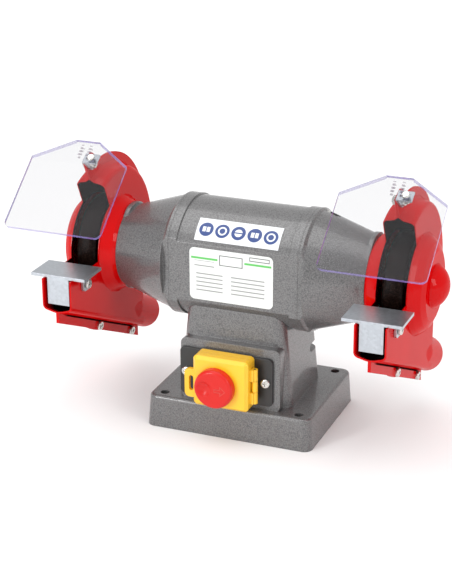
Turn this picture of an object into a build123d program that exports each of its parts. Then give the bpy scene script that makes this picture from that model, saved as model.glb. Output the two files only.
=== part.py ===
from build123d import *
import math
import os

os.makedirs("parts", exist_ok=True)

# Bench grinder, twin wheels on one motor spindle.
# Origin: middle of the stand's footprint, on the bench. +X runs along the spindle to the
# operator's right, the operator stands on the -Y side, +Z is up. Millimetres.

# ---- stand: one hollow casting, a flanged base with a tapered column
base_width = 170.0
base_depth = 131.8
base_height = 33.0
base_draft = 2.0
base_corner_r = 9.0
base_wall = 6.0
base_top_wall = 6.0
foot_hole_x = 70.85
foot_hole_y = 55.2
foot_hole_r = 4.5
foot_boss_r = 9.5
column_foot_width = 120.0
column_foot_depth = 92.0
column_top_width = 100.0
column_top_depth = 90.0
column_centre_y = -3.0
column_wall = 5.0
column_corner_r = 11.0
saddle_drop = 32.6
cover_thick = 1.5
cover_z = 3.0
cover_screw_x = 45.0
cover_screw_y = 48.0
cover_screw_r = 2.0
cover_screw_head_r = 3.6
cover_screw_head = 1.6
vent_count = 5
vent_pitch = 12.0
vent_length = 34.0
vent_width = 4.0
post_r = 4.0
slot_length = 30.0
slot_height = 8.0
slot_centre_y = 33.0
slot_centre_z = 70.0
gland_z = 60.0
gland_hole_r = 8.0
gland_bore_r = 4.0

# ---- switch on the front of the column
pad_half_width = 52.0
pad_top_z = 97.0
pad_front_y = -57.0
plate_width = 97.0
plate_height = 50.0
plate_thick = 3.0
plate_centre_x = -3.3
plate_centre_z = 63.0
plate_screw_x = 41.5
switch_centre_x = -2.0
switch_width = 57.0
switch_height = 52.5
switch_centre_z = 63.0
frame_thick = 8.0
frame_rim = 5.0
flap_gap = 0.5
flap_depth = 11.0
flap_wall = 2.0
knob_r = 20.0
knob_depth = 9.0
knob_x = -6.0
knob_z = 60.0
button_width = 15.0
button_height = 20.0

# ---- motor
spindle_z = 163.6
motor_half = 66.7
motor_r = 59.5
motor_rim_r = 61.0
motor_rim_width = 9.0
motor_face_y = -51.5
motor_bore_r = 48.0
bell_length = 62.0
bell_small_r = 41.0
bell_wall = 4.0
bell_end_wall = 5.0
bell_lip_half = 44.5
bell_lip_width = 50.0
bell_lip_corner_r = 22.0
bell_lip_thick = 4.5
stator_half = 30.0
stator_bore_r = 30.0
rotor_gap = 0.4
rotor_half = 32.0
bell_screw_r = 53.5
bell_screw_angles = (-104.5, 75.5)

# ---- spindle, bearings and wheels
bearing_bore_r = 7.5
bearing_outer_r = 17.5
bearing_width = 11.0
ball_r = 2.9
ball_count = 8
ball_play = 0.1
rotor_seat_r = 9.0
arbor_r = 6.35
bore_fit = 0.05
neck_length = 29.0
wheel_r = 50.0
wheel_width = 20.0
wheel_crown = 2.6
flange_r = 24.0
flange_thick = 6.0
blotter_thick = 0.6
blotter_r = 26.0
nut_af = 19.0
nut_height = 8.0
arbor_end_gap = 1.4

# ---- pressed steel guards, two halves on each wheel, joined at a flange in the wheel's mid-plane
guard_half_width = 15.5
sheet = 1.5
fold_r = 84.5
fold_a = 4.5
fold_low_angle = -50.0
crown_r = 80.5
guard_side_r = 78.0
guard_corner_r = 5.0
seam_r = 91.5
hood_end_angle = 115.0
cheek_r = 51.0
hub_root_r = 50.0
hub_step_a = 20.0
hub_step_r = 47.0
hub_end_r = 41.5
cap_shoulder_a = 26.0
cap_shoulder_r = 41.0
cap_face_r = 34.0
cap_dome_a = 18.1
cap_dome_r = 24.5
box_front_y = -112.5
box_rear_y = 50.0
box_top_drop = 3.0
floor_slope_deg = 25.0
floor_fold = 0.6
fin_height = 9.9
fin_rear_y = 64.4
fin_screw_ys = (-27.0, 47.0)
fin_screw_drop = 5.5
port_r = 18.0
port_neck_r = 13.0
port_start_y = 15.0
port_full_y = 42.0
port_end_y = 84.0
guard_screw_r = 31.0
neck_hole_r = 14.0
guard_screw_angles = (30.0, 150.0, 270.0)
ear_r = 106.0
ear_rear_angle = 97.0

# ---- tool rests
rest_half_width = 28.7
rest_front_y = -109.0
rest_back_y = -72.1
rest_thick = 3.0
rest_gap = 0.5
rest_leg_width = 23.0
rest_leg_drop = 27.0
lug_length = 17.0
lug_drop = 20.0
lug_thick = 2.5
lug_centre_y = -83.0
lug_gap = 0.4
rest_travel = 3.5
clamp_drop = 11.0

# ---- eye shields
pane_thick = 3.0
pane_half_width = 51.0
pane_bend_y = -55.6
pane_bend_rise = 100.6
pane_low_y = -119.6
pane_low_rise = 48.8
pane_high_y = -33.5
pane_high_rise = 114.5
pane_high_half = 12.8
pane_corner_r = 6.0
pivot_y = -33.5
pivot_rise = 91.9
bracket_thick = 2.0
bracket_gap = 0.35
bracket_eye_r = 6.0
foot_near = 1.5
foot_far = 13.0
foot_reach = 15.0
pane_screw_along = 5.5
pane_screw_a = 11.0
pane_screw_r = 2.0
pane_screw_head_r = 3.8
pane_screw_head = 2.4
pane_nut_af = 7.0
pane_nut_height = 3.2

# ---- fasteners
screw_r = 2.5
screw_head_r = 4.75
screw_head_height = 3.2
cross_span = 5.2
cross_width = 1.1
cross_depth = 1.4
nut_small_af = 8.0
nut_small_height = 4.0
screw_play = 0.3

column_top_z = spindle_z - saddle_drop
box_top_z = spindle_z - box_top_drop
pane_bend_z = spindle_z + pane_bend_rise
pane_low_z = spindle_z + pane_low_rise
pane_high_z = spindle_z + pane_high_rise
pivot_z = spindle_z + pivot_rise
rest_top_z = box_top_z + rest_gap + rest_thick
clamp_z = box_top_z - clamp_drop
column_back_y = column_centre_y + column_foot_depth / 2
bell_end_x = motor_half + bell_length
wheel_centre_x = bell_end_x + neck_length
plate_screw_places = [(plate_centre_x + way * plate_screw_x, plate_centre_z) for way in (-1, 1)]
floor_slope = math.radians(floor_slope_deg)
spindle_axis = Axis((0, 0, spindle_z), (1, 0, 0))


def write(part, name):
    part.label = name
    export_step(part, "parts/" + name + ".step")


def floor_z(y, drop=0.0):
    """Height of the guard's sloping floor at y, lowered square to the slope by drop."""
    return spindle_z - (crown_r + drop) / math.cos(floor_slope) - math.tan(floor_slope) * y


def polar(radius, angle):
    """A point in the wheel's plane as (y, z), by radius and angle from the back, over the top."""
    return (radius * math.cos(math.radians(angle)), spindle_z + radius * math.sin(math.radians(angle)))


def disc(x0, x1, r0, r1=None, y=0.0, z=spindle_z, bore=0.0):
    """A turned blank along X from x0 to x1, straight or tapered, with an optional bore."""
    with BuildPart() as blank:
        with BuildSketch(Plane.YZ.offset(x0)):
            with Locations((y, z)):
                Circle(r0)
        if r1 is None:
            extrude(amount=x1 - x0)
        else:
            with BuildSketch(Plane.YZ.offset(x1)):
                with Locations((y, z)):
                    Circle(r1)
            loft()
        if bore > 0:
            with BuildSketch(Plane.YZ.offset(x0)):
                with Locations((y, z)):
                    Circle(bore)
            extrude(amount=x1 - x0, mode=Mode.SUBTRACT)
    return blank.part


def turned(points):
    """A ring turned about the spindle from (x, radius) points."""
    with BuildPart() as ring:
        with BuildSketch(Plane.XZ):
            with BuildLine():
                Polyline(*[(x, spindle_z + r) for x, r in points], close=True)
            make_face()
        revolve(axis=spindle_axis)
    return ring.part


def both_sides(part):
    """The right-hand piece and its mirror image, as separate solids of one group."""
    return Part() + [part, mirror(part, about=Plane.YZ)]


def pan_screw(length):
    """A cross-recessed pan-head screw: head under the origin's +Z side, shank down -Z."""
    with BuildPart() as screw:
        with BuildSketch(Plane.XY):
            Circle(screw_head_r)
        extrude(amount=screw_head_height)
        fillet(screw.edges().group_by(Axis.Z)[-1], screw_head_height / 2)
        with BuildSketch(Plane.XY.offset(screw_head_height - cross_depth)):
            Rectangle(cross_span, cross_width)
            Rectangle(cross_width, cross_span)
        extrude(amount=cross_depth, mode=Mode.SUBTRACT)
        with BuildSketch(Plane.XY):
            Circle(screw_r)
        extrude(amount=-length)
    return screw.part


def hex_nut(af, height, bore):
    """A hexagon nut standing on the origin, axis Z, with chamfered corners."""
    with BuildPart() as nut:
        with BuildSketch(Plane.XY):
            RegularPolygon(af / 2, 6, major_radius=False)
        extrude(amount=height)
        with BuildSketch(Plane.XY):
            Circle(bore)
        extrude(amount=height, mode=Mode.SUBTRACT)
    return nut.part


# =====================================================================================
# Stand
# =====================================================================================
with BuildPart() as stand:
    with BuildSketch(Plane.XY):
        RectangleRounded(base_width + 2 * base_draft, base_depth + 2 * base_draft, base_corner_r)
    with BuildSketch(Plane.XY.offset(base_height)):
        RectangleRounded(base_width, base_depth, base_corner_r)
    loft()
    fillet(stand.edges().group_by(Axis.Z)[-1], 3.0)
    with BuildSketch(Plane.XY.offset(base_height - 1)):
        with Locations((0, column_centre_y)):
            RectangleRounded(column_foot_width, column_foot_depth, column_corner_r)
    with BuildSketch(Plane.XY.offset(column_top_z)):
        with Locations((0, column_centre_y)):
            RectangleRounded(column_top_width, column_top_depth, column_corner_r)
    loft()
    # pad behind the switch plate
    with BuildSketch(Plane.XZ.offset(-pad_front_y)):
        with Locations((0, (base_height - 1 + pad_top_z) / 2)):
            RectangleRounded(2 * pad_half_width, pad_top_z - base_height + 1, 6)
    extrude(amount=-20)
    # hollow base
    with BuildSketch(Plane.XY):
        RectangleRounded(base_width - 2 * base_wall, base_depth - 2 * base_wall, 5)
    extrude(amount=base_height - base_top_wall, mode=Mode.SUBTRACT)
    # hollow column, open down into the base and up into the motor
    with BuildSketch(Plane.XY.offset(base_height - base_top_wall - 1)):
        with Locations((0, column_centre_y)):
            RectangleRounded(column_foot_width - 2 * column_wall, column_foot_depth - 2 * column_wall, 6)
    with BuildSketch(Plane.XY.offset(column_top_z + 1)):
        with Locations((0, column_centre_y)):
            RectangleRounded(column_top_width - 2 * column_wall, column_top_depth - 2 * column_wall, 6)
    loft(mode=Mode.SUBTRACT)
    # bosses round the four bench bolts
    with BuildSketch(Plane.XY):
        with GridLocations(2 * foot_hole_x, 2 * foot_hole_y, 2, 2):
            Circle(foot_boss_r)
    extrude(amount=base_height - base_top_wall)
    with BuildSketch(Plane.XY):
        with GridLocations(2 * foot_hole_x, 2 * foot_hole_y, 2, 2):
            Circle(foot_hole_r)
    extrude(amount=base_height, mode=Mode.SUBTRACT)
    # posts for the bottom cover's screws
    with BuildSketch(Plane.XY.offset(cover_z + cover_thick)):
        with GridLocations(2 * cover_screw_x, 2 * cover_screw_y, 2, 2):
            Circle(post_r)
    extrude(amount=base_height - base_top_wall - cover_z - cover_thick)
    # saddle for the motor
    with BuildSketch(Plane.YZ.offset(-column_top_width)):
        with Locations((0, spindle_z)):
            Circle(motor_r)
    extrude(amount=2 * column_top_width, mode=Mode.SUBTRACT)
    # window for the switch body, plate screw holes
    with BuildSketch(Plane.XZ.offset(-pad_front_y)):
        with Locations((switch_centre_x, switch_centre_z)):
            Rectangle(switch_width - 16, switch_height - 22)
        with Locations(*plate_screw_places):
            Circle(screw_r)
    extrude(amount=-24, mode=Mode.SUBTRACT)
    # vent slot in the right-hand side
    with BuildSketch(Plane.YZ.offset(column_top_width / 2 - 12)):
        with Locations((slot_centre_y, slot_centre_z)):
            SlotOverall(slot_length, slot_height)
    extrude(amount=30, mode=Mode.SUBTRACT)
    # hole for the cable gland at the back
    with BuildSketch(Plane.XZ.offset(20 - column_back_y)):
        with Locations((0, gland_z)):
            Circle(gland_hole_r)
    extrude(amount=-40, mode=Mode.SUBTRACT)
write(stand.part, "stand")

# =====================================================================================
# Things inside and under the stand
# =====================================================================================
cover_inset = 0.6
cover_width = base_width - 2 * base_wall - 2 * cover_inset
cover_depth = base_depth - 2 * base_wall - 2 * cover_inset
with BuildPart() as bottom_cover:
    with BuildSketch(Plane.XY.offset(cover_z)):
        RectangleRounded(cover_width, cover_depth, 4.5)
        with GridLocations(2 * foot_hole_x, 2 * foot_hole_y, 2, 2):
            Circle(foot_boss_r + cover_inset, mode=Mode.SUBTRACT)
        with GridLocations(2 * cover_screw_x, 2 * cover_screw_y, 2, 2):
            Circle(cover_screw_r + 0.2, mode=Mode.SUBTRACT)
        with GridLocations(vent_pitch, 0, vent_count, 1):
            SlotOverall(vent_length, vent_width, rotation=90, mode=Mode.SUBTRACT)
    extrude(amount=cover_thick)
write(bottom_cover.part, "bottom_cover")

with BuildPart() as cover_screws:
    with BuildSketch(Plane.XY.offset(cover_z - cover_screw_head)):
        with GridLocations(2 * cover_screw_x, 2 * cover_screw_y, 2, 2):
            Circle(cover_screw_head_r)
    extrude(amount=cover_screw_head)
    with BuildSketch(Plane.XY.offset(cover_z)):
        with GridLocations(2 * cover_screw_x, 2 * cover_screw_y, 2, 2):
            Circle(cover_screw_r)
    extrude(amount=cover_thick)
write(cover_screws.part, "cover_screws")

capacitor_r = 15.0
capacitor_length = 52.0
capacitor_y = 22.0
clip_thick = 1.2
clip_width = 16.0
clip_foot_width = 48.0
clip_neck_width = 14.0
capacitor_z = cover_z + cover_thick + capacitor_r + clip_thick + 1.0
tab_thick = 0.8
tab_width = 6.3
tab_length = 8.0
tab_offset = 5.0
with BuildPart() as capacitor:
    with BuildSketch(Plane.YZ.offset(-capacitor_length / 2)):
        with Locations((capacitor_y, capacitor_z)):
            Circle(capacitor_r)
    extrude(amount=capacitor_length)
    fillet(capacitor.edges().filter_by(GeomType.CIRCLE), 1.5)
    with BuildSketch(Plane.YZ.offset(capacitor_length / 2)):
        with Locations((capacitor_y - tab_offset, capacitor_z), (capacitor_y + tab_offset, capacitor_z)):
            Rectangle(tab_thick, tab_width)
    extrude(amount=tab_length)
write(capacitor.part, "capacitor")

with BuildPart() as capacitor_clip:
    with BuildSketch(Plane.YZ.offset(-clip_width / 2)):
        with Locations((capacitor_y, capacitor_z)):
            Circle(capacitor_r + clip_thick)
        with Locations((capacitor_y, cover_z + cover_thick + clip_thick / 2)):
            Rectangle(clip_foot_width, clip_thick)
        with Locations((capacitor_y, cover_z + cover_thick + clip_thick + 0.5)):
            Rectangle(clip_neck_width, 1.6)
        with Locations((capacitor_y, capacitor_z)):
            Circle(capacitor_r, mode=Mode.SUBTRACT)
    extrude(amount=clip_width)
write(capacitor_clip.part, "capacitor_clip")

block_length = 44.0
block_width = 18.0
block_height = 15.0
block_y = -28.0
well_pitch_x = 10.5
well_pitch_y = 8.0
well_r = 2.6
well_depth = 5.0
with BuildPart() as terminal_block:
    with BuildSketch(Plane.XY.offset(cover_z + cover_thick)):
        with Locations((0, block_y)):
            Rectangle(block_length, block_width)
    extrude(amount=block_height)
    with BuildSketch(Plane.XY.offset(cover_z + cover_thick + block_height)):
        with Locations((0, block_y)):
            with GridLocations(well_pitch_x, well_pitch_y, 4, 2):
                Circle(well_r)
    extrude(amount=-well_depth, mode=Mode.SUBTRACT)
write(terminal_block.part, "terminal_block")

# cable gland in the back of the column
gland_af = 22.0
gland_collar = 6.0
gland_dome_r = 10.0
gland_dome_length = 9.0
gland_thread_length = 14.0
with BuildPart() as cable_gland:
    with BuildSketch(Plane.XZ.offset(-column_back_y)):
        with Locations((0, gland_z)):
            RegularPolygon(gland_af / 2, 6, major_radius=False)
            Circle(gland_bore_r, mode=Mode.SUBTRACT)
    extrude(amount=-gland_collar)
    with BuildSketch(Plane.XZ.offset(-column_back_y - gland_collar)):
        with Locations((0, gland_z)):
            Circle(gland_dome_r)
            Circle(gland_bore_r, mode=Mode.SUBTRACT)
    extrude(amount=-gland_dome_length)
    with BuildSketch(Plane.XZ.offset(-column_back_y)):
        with Locations((0, gland_z)):
            Circle(gland_hole_r - 0.1)
            Circle(gland_bore_r, mode=Mode.SUBTRACT)
    extrude(amount=gland_thread_length)
write(cable_gland.part, "cable_gland")

# =====================================================================================
# Motor
# =====================================================================================
with BuildPart() as motor_housing:
    add(disc(-motor_half, motor_half, motor_r))
    add(disc(-motor_half, -motor_half + motor_rim_width, motor_rim_r))
    add(disc(motor_half - motor_rim_width, motor_half, motor_rim_r))
    # the flat nameplate face, planed off the front
    with BuildSketch(Plane.XZ.offset(-motor_face_y)):
        with Locations((0, spindle_z)):
            Rectangle(4 * motor_half, 4 * motor_r)
    extrude(amount=30, mode=Mode.SUBTRACT)
    add(disc(-motor_half, motor_half, motor_bore_r), mode=Mode.SUBTRACT)
    # the stand's saddle carries the middle, so the rims stop short of it
    with BuildSketch(Plane.XY.offset(spindle_z - motor_r - 10)):
        Rectangle(40, 30)
    extrude(amount=40, mode=Mode.SUBTRACT)
write(motor_housing.part, "motor_housing")


def end_bell():
    """Right-hand cast end bell: a cone from the motor to the guard, with the bearing seat."""
    root = motor_half
    lip = bell_end_x
    seat = lip - bell_end_wall
    bore = bearing_outer_r
    profile = [(root, motor_bore_r), (root, motor_rim_r), (root + 3, motor_rim_r), (root + 5.5, motor_r - 1),
               (lip - bell_lip_thick, bell_small_r + 1), (lip, bell_small_r), (lip, 12),
               (seat, 12), (seat, bore), (seat - bearing_width - 1.2, bore),
               (seat - bearing_width - 1.2, bore + 4.5), (seat - 2, bore + 4.5),
               (seat - 2, bell_small_r - bell_wall), (root + 5.5, motor_bore_r)]
    with BuildPart() as bell:
        add(turned(profile))
        with BuildSketch(Plane.YZ.offset(lip - bell_lip_thick)):
            with Locations((0, spindle_z)):
                RectangleRounded(bell_lip_width, 2 * bell_lip_half, bell_lip_corner_r)
                Circle(bell_small_r - bell_wall, mode=Mode.SUBTRACT)
        extrude(amount=bell_lip_thick)
        # flat where the nameplate face runs out
        with BuildSketch(Plane.XZ.offset(-motor_face_y)):
            with Locations((root, spindle_z)):
                Rectangle(12, 4 * motor_r)
        extrude(amount=30, mode=Mode.SUBTRACT)
            # bosses for the long housing screws
        for angle in bell_screw_angles:
            y, z = polar(bell_screw_r, angle)
            with BuildSketch(Plane.YZ.offset(root)):
                with Locations((y, z)):
                    Circle(6)
            extrude(amount=6)
            with BuildSketch(Plane.YZ.offset(root + 6)):
                with Locations((y, z)):
                    Circle(screw_head_r + 0.6)
            extrude(amount=12, mode=Mode.SUBTRACT)
            with BuildSketch(Plane.YZ.offset(root)):
                with Locations((y, z)):
                    Circle(screw_r)
            extrude(amount=20, mode=Mode.SUBTRACT)
        for angle in guard_screw_angles:
            y, z = polar(guard_screw_r, angle)
            with BuildSketch(Plane.YZ.offset(lip)):
                with Locations((y, z)):
                    Circle(screw_r)
            extrude(amount=-12, mode=Mode.SUBTRACT)
    return bell.part


bell_right = end_bell()
write(bell_right, "end_bell_right")
write(mirror(bell_right, about=Plane.YZ), "end_bell_left")

with BuildPart() as bell_screws:
    for angle in bell_screw_angles:
        y, z = polar(bell_screw_r, angle)
        head = Plane(origin=(motor_half + 6, y, z), x_dir=(0, 1, 0), z_dir=(1, 0, 0))
        add(head * pan_screw(6.0))
bell_screws_right = bell_screws.part
write(both_sides(bell_screws_right), "bell_screws")

slot_count = 24
slot_pitch_r = 36.0
stator_slot_length = 11.0
stator_slot_width = 4.2
with BuildPart() as stator:
    add(disc(-stator_half, stator_half, motor_bore_r, bore=stator_bore_r))
    with BuildSketch(Plane.YZ.offset(-stator_half)):
        with Locations((0, spindle_z)):
            with PolarLocations(slot_pitch_r, slot_count):
                SlotOverall(stator_slot_length, stator_slot_width)
    extrude(amount=2 * stator_half, mode=Mode.SUBTRACT)
write(stator.part, "stator_core")

winding_length = 16.0
winding_outer_r = 44.0
winding_inner_r = 32.0
with BuildPart() as windings:
    for side in (-1, 1):
        x0 = stator_half if side > 0 else -stator_half - winding_length
        add(disc(x0, x0 + winding_length, winding_outer_r, bore=winding_inner_r))
    fillet(windings.edges().filter_by(GeomType.CIRCLE).filter_by_position(
        Axis.X, stator_half + winding_length - 0.1, stator_half + winding_length + 0.1), 4)
    fillet(windings.edges().filter_by(GeomType.CIRCLE).filter_by_position(
        Axis.X, -stator_half - winding_length - 0.1, -stator_half - winding_length + 0.1), 4)
write(windings.part, "stator_windings")

# =====================================================================================
# Spindle: everything that turns
# =====================================================================================
bearing_outer_x = bell_end_x - bell_end_wall
bearing_inner_x = bearing_outer_x - bearing_width
wheel_inner_x = wheel_centre_x - wheel_width / 2
wheel_outer_x = wheel_centre_x + wheel_width / 2
arbor_shoulder_x = wheel_inner_x - blotter_thick - flange_thick
nut_x = wheel_outer_x + blotter_thick + flange_thick
arbor_end_x = nut_x + nut_height + arbor_end_gap

shaft_profile = [(-arbor_end_x, 0), (-arbor_end_x, arbor_r - 1), (-arbor_end_x + 1, arbor_r),
                 (-arbor_shoulder_x, arbor_r), (-arbor_shoulder_x, bearing_bore_r),
                 (-bearing_inner_x, bearing_bore_r), (-bearing_inner_x, rotor_seat_r),
                 (bearing_inner_x, rotor_seat_r), (bearing_inner_x, bearing_bore_r),
                 (arbor_shoulder_x, bearing_bore_r), (arbor_shoulder_x, arbor_r),
                 (arbor_end_x - 1, arbor_r), (arbor_end_x, arbor_r - 1), (arbor_end_x, 0)]
write(turned(shaft_profile), "spindle_shaft")

rotor_r = stator_bore_r - rotor_gap
end_ring_length = 8.0
end_ring_bore_r = 18.0
bar_pitch_r = 23.5
bar_count = 12
bar_r = 1.6
with BuildPart() as rotor:
    add(disc(-rotor_half, rotor_half, rotor_r, bore=rotor_seat_r))
    for side in (-1, 1):
        x0 = rotor_half if side > 0 else -rotor_half - end_ring_length
        add(disc(x0, x0 + end_ring_length, rotor_r - 2, bore=end_ring_bore_r))
    with BuildSketch(Plane.YZ.offset(-rotor_half)):
        with Locations((0, spindle_z)):
            with PolarLocations(bar_pitch_r, bar_count):
                Circle(bar_r)
    extrude(amount=2 * rotor_half, mode=Mode.SUBTRACT)
write(rotor.part, "rotor")

pitch_r = (bearing_bore_r + bearing_outer_r) / 2 + 0.1
race_half = ball_r - 1.2
bearing_mid_x = (bearing_inner_x + bearing_outer_x) / 2


def groove(x):
    """The ring of space that the balls run in, as a torus about the spindle."""
    with BuildPart() as torus:
        with BuildSketch(Plane.XZ):
            with Locations((x, spindle_z + pitch_r)):
                Circle(ball_r + ball_play)
        revolve(axis=spindle_axis)
    return torus.part


def bearing(side):
    """A deep-groove ball bearing: outer ring, inner ring and loose balls."""
    x0 = min(side * bearing_inner_x, side * bearing_outer_x)
    mid = side * bearing_mid_x
    with BuildPart() as outer:
        add(disc(x0, x0 + bearing_width, bearing_outer_r, bore=pitch_r + race_half))
        add(groove(mid), mode=Mode.SUBTRACT)
    with BuildPart() as inner:
        add(disc(x0, x0 + bearing_width, pitch_r - race_half, bore=bearing_bore_r))
        add(groove(mid), mode=Mode.SUBTRACT)
    with BuildPart() as balls:
        for i in range(ball_count):
            turn = math.radians(360 / ball_count * i)
            with Locations((mid, pitch_r * math.cos(turn), spindle_z + pitch_r * math.sin(turn))):
                Sphere(ball_r)
    return outer.part, inner.part, balls.part


outer_ring, inner_ring, ball_set = bearing(1)
write(both_sides(outer_ring), "bearing_outer_rings")
write(both_sides(inner_ring), "bearing_inner_rings")
write(both_sides(ball_set), "bearing_balls")

with BuildPart() as wave_washer:
    add(disc(-bearing_inner_x, -bearing_inner_x + 0.9, bearing_outer_r - 0.2, bore=bearing_outer_r - 3))
write(wave_washer.part, "preload_washer")

# wheels: plain bore, crowned edge, clamped between two relieved flanges
crown_steps = 10
wheel_rim = []
for i in range(crown_steps + 1):
    across = 2 * i / crown_steps - 1
    wheel_rim.append((wheel_centre_x + across * wheel_width / 2, wheel_r - wheel_crown * abs(across) ** 3))
wheel_profile = [(wheel_inner_x, arbor_r + bore_fit), *wheel_rim, (wheel_outer_x, arbor_r + bore_fit)]
wheel_right = turned(wheel_profile)
write(wheel_right, "wheel_right")
write(mirror(wheel_right, about=Plane.YZ), "wheel_left")


def clamp_flange(x_face, x_back):
    """A turned clamping flange whose rim bears on the wheel at x_face."""
    way = 1 if x_back > x_face else -1
    return turned([(x_face, flange_r - 6), (x_face, flange_r), (x_back - way * 1.5, flange_r),
                   (x_back, flange_r - 6), (x_back, arbor_r + bore_fit),
                   (x_face + way * 1.2, arbor_r + bore_fit), (x_face + way * 1.2, flange_r - 6)])


inner_flange_right = clamp_flange(wheel_inner_x - blotter_thick, arbor_shoulder_x)
outer_flange_right = clamp_flange(wheel_outer_x + blotter_thick, nut_x)
write(inner_flange_right, "flange_inner_right")
write(mirror(inner_flange_right, about=Plane.YZ), "flange_inner_left")
write(outer_flange_right, "flange_outer_right")
write(mirror(outer_flange_right, about=Plane.YZ), "flange_outer_left")

with BuildPart() as blotters:
    add(disc(wheel_inner_x - blotter_thick, wheel_inner_x, blotter_r, bore=arbor_r + bore_fit))
    add(disc(wheel_outer_x, wheel_outer_x + blotter_thick, blotter_r, bore=arbor_r + bore_fit))
write(both_sides(blotters.part), "blotters")

nut_plane = Plane(origin=(nut_x, 0, spindle_z), x_dir=(0, 1, 0), z_dir=(1, 0, 0))
spindle_nut_right = nut_plane * hex_nut(nut_af, nut_height, arbor_r)
write(spindle_nut_right, "spindle_nut_right")
write(mirror(spindle_nut_right, about=Plane.YZ), "spindle_nut_left")

# =====================================================================================
# Guards: each half is pressed from sheet, its rim meets the other half at the seam flange
# =====================================================================================


def crown(inset, tilt, fold):
    """Half the guard's section, shrunk by inset, on a plane through the spindle turned by tilt."""
    plane = Plane(origin=(0, 0, spindle_z), x_dir=(1, 0, 0), z_dir=(0, math.cos(tilt), -math.sin(tilt)))
    side_a = guard_half_width - inset
    with BuildSketch(plane) as section:
        with BuildLine():
            FilletPolyline((0, 0), (side_a, 0), (side_a, guard_side_r - inset), (fold_a, crown_r - inset),
                           (0, fold - inset), radius=[0, 0, guard_corner_r - inset, fold_a / 2, 0], close=True)
        make_face()
    return section.sketch


def port_station(y):
    """The plane across the dust spout where its axis is at depth y."""
    down = crown_r - port_r
    along = (y + down * math.sin(floor_slope)) / math.cos(floor_slope)
    z = spindle_z - down * math.cos(floor_slope) - along * math.sin(floor_slope)
    return Plane(origin=(0, y, z), x_dir=(1, 0, 0), z_dir=(0, math.cos(floor_slope), -math.sin(floor_slope)))


def hub(inset, is_outer):
    """The domed bulge over the nut and flange, or the neck that bolts to the motor."""
    end_a = neck_length - inset
    root = [(0, hub_root_r - inset), (guard_half_width, hub_root_r - inset), (hub_step_a, hub_step_r - inset)]
    if not is_outer:
        neck = [(end_a - 3, hub_end_r + 2 - inset), (end_a, hub_end_r - 1 - inset), (end_a, 0)]
        return turned([(0, 0), *root, *neck])
    dome_r = cap_dome_r - inset
    foot_turn = math.acos((end_a - cap_dome_a) / dome_r)
    arc = [(cap_dome_a + dome_r * math.cos(turn), spindle_z + dome_r * math.sin(turn))
           for turn in (foot_turn, foot_turn / 2, 0)]
    rim = [*root, (cap_shoulder_a, cap_shoulder_r - inset), (end_a, cap_face_r - inset)]
    with BuildPart() as cap:
        with BuildSketch(Plane.XZ):
            with BuildLine():
                Polyline((0, spindle_z), *[(x, spindle_z + r) for x, r in rim], arc[0])
                ThreePointArc(*arc)
                Line(arc[2], (0, spindle_z))
            make_face()
        revolve(axis=spindle_axis)
    return cap.part


def shell(inset, is_outer):
    """The closed outer shape of one half, shrunk by inset: hood, box, spout and hub."""
    overrun = sheet if inset > 0 else 0
    with BuildPart() as skirt:
        extrude(crown(inset, floor_slope, crown_r + floor_fold), amount=2 * guard_side_r, both=True)
        with BuildSketch(Plane.YZ):
            with BuildLine():
                Polyline((box_front_y - overrun, spindle_z), (box_front_y - overrun, 0),
                         (box_rear_y - inset, 0), (box_rear_y - inset, spindle_z), close=True)
            make_face()
        extrude(amount=guard_half_width, mode=Mode.INTERSECT)
    with BuildPart() as whole:
        revolve(crown(inset, 0, crown_r + floor_fold), axis=spindle_axis)
        revolve(crown(inset, -math.radians(90 + fold_low_angle), fold_r), axis=spindle_axis,
                revolution_arc=hood_end_angle + 10 - fold_low_angle)
        add(skirt.part)
        add(hub(inset, is_outer))
        with BuildSketch(port_station(port_start_y)) as neck:
            Circle(port_neck_r - inset)
        with BuildSketch(port_station(port_full_y)) as pipe:
            Circle(port_r - inset)
        loft([neck.sketch, pipe.sketch])
        extrude(pipe.sketch, amount=(port_end_y - port_full_y) / math.cos(floor_slope) + overrun)
    return whole.part


def mouth():
    """What is cut away in front of the wheel, from the hood's end down to the tool rest."""
    with BuildSketch(Plane.YZ.offset(-1)) as section:
        with BuildLine():
                Polyline((0, spindle_z), polar(160, hood_end_angle), (-170, spindle_z + 145), (-170, box_top_z),
                     (0, box_top_z), close=True)
        make_face()
        with Locations((0, spindle_z)):
            Circle(cheek_r, mode=Mode.SUBTRACT)
    return section.sketch


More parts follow.
